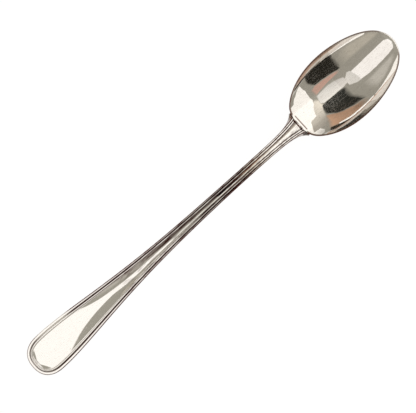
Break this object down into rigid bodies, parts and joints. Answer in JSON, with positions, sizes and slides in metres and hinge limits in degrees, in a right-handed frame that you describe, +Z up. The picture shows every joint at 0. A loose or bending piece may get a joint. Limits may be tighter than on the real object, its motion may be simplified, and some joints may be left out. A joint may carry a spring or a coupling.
{
  "type": "condiment spoon",
  "caption": "Slender polished silver spoon with an egg-shaped bowl and a tapering thread-edged handle, for lifting relish, mustard or sauce out of a jar.",
  "frame": {"origin": "middle of the spoon's length and width, on the surface that it lies on", "axes": "+X along the spoon towards the tip of the bowl, +Z up out of the bowl, Y across"},
  "size_m": [0.13, 0.0204, 0.0139],
  "materials": {
    "bowl_silver": "polished",
    "handle_silver": "polished"
  },
  "bodies": {
    "root": {"bowl": "bowl_silver", "handle": "handle_silver"}
  },
  "joints": []
}
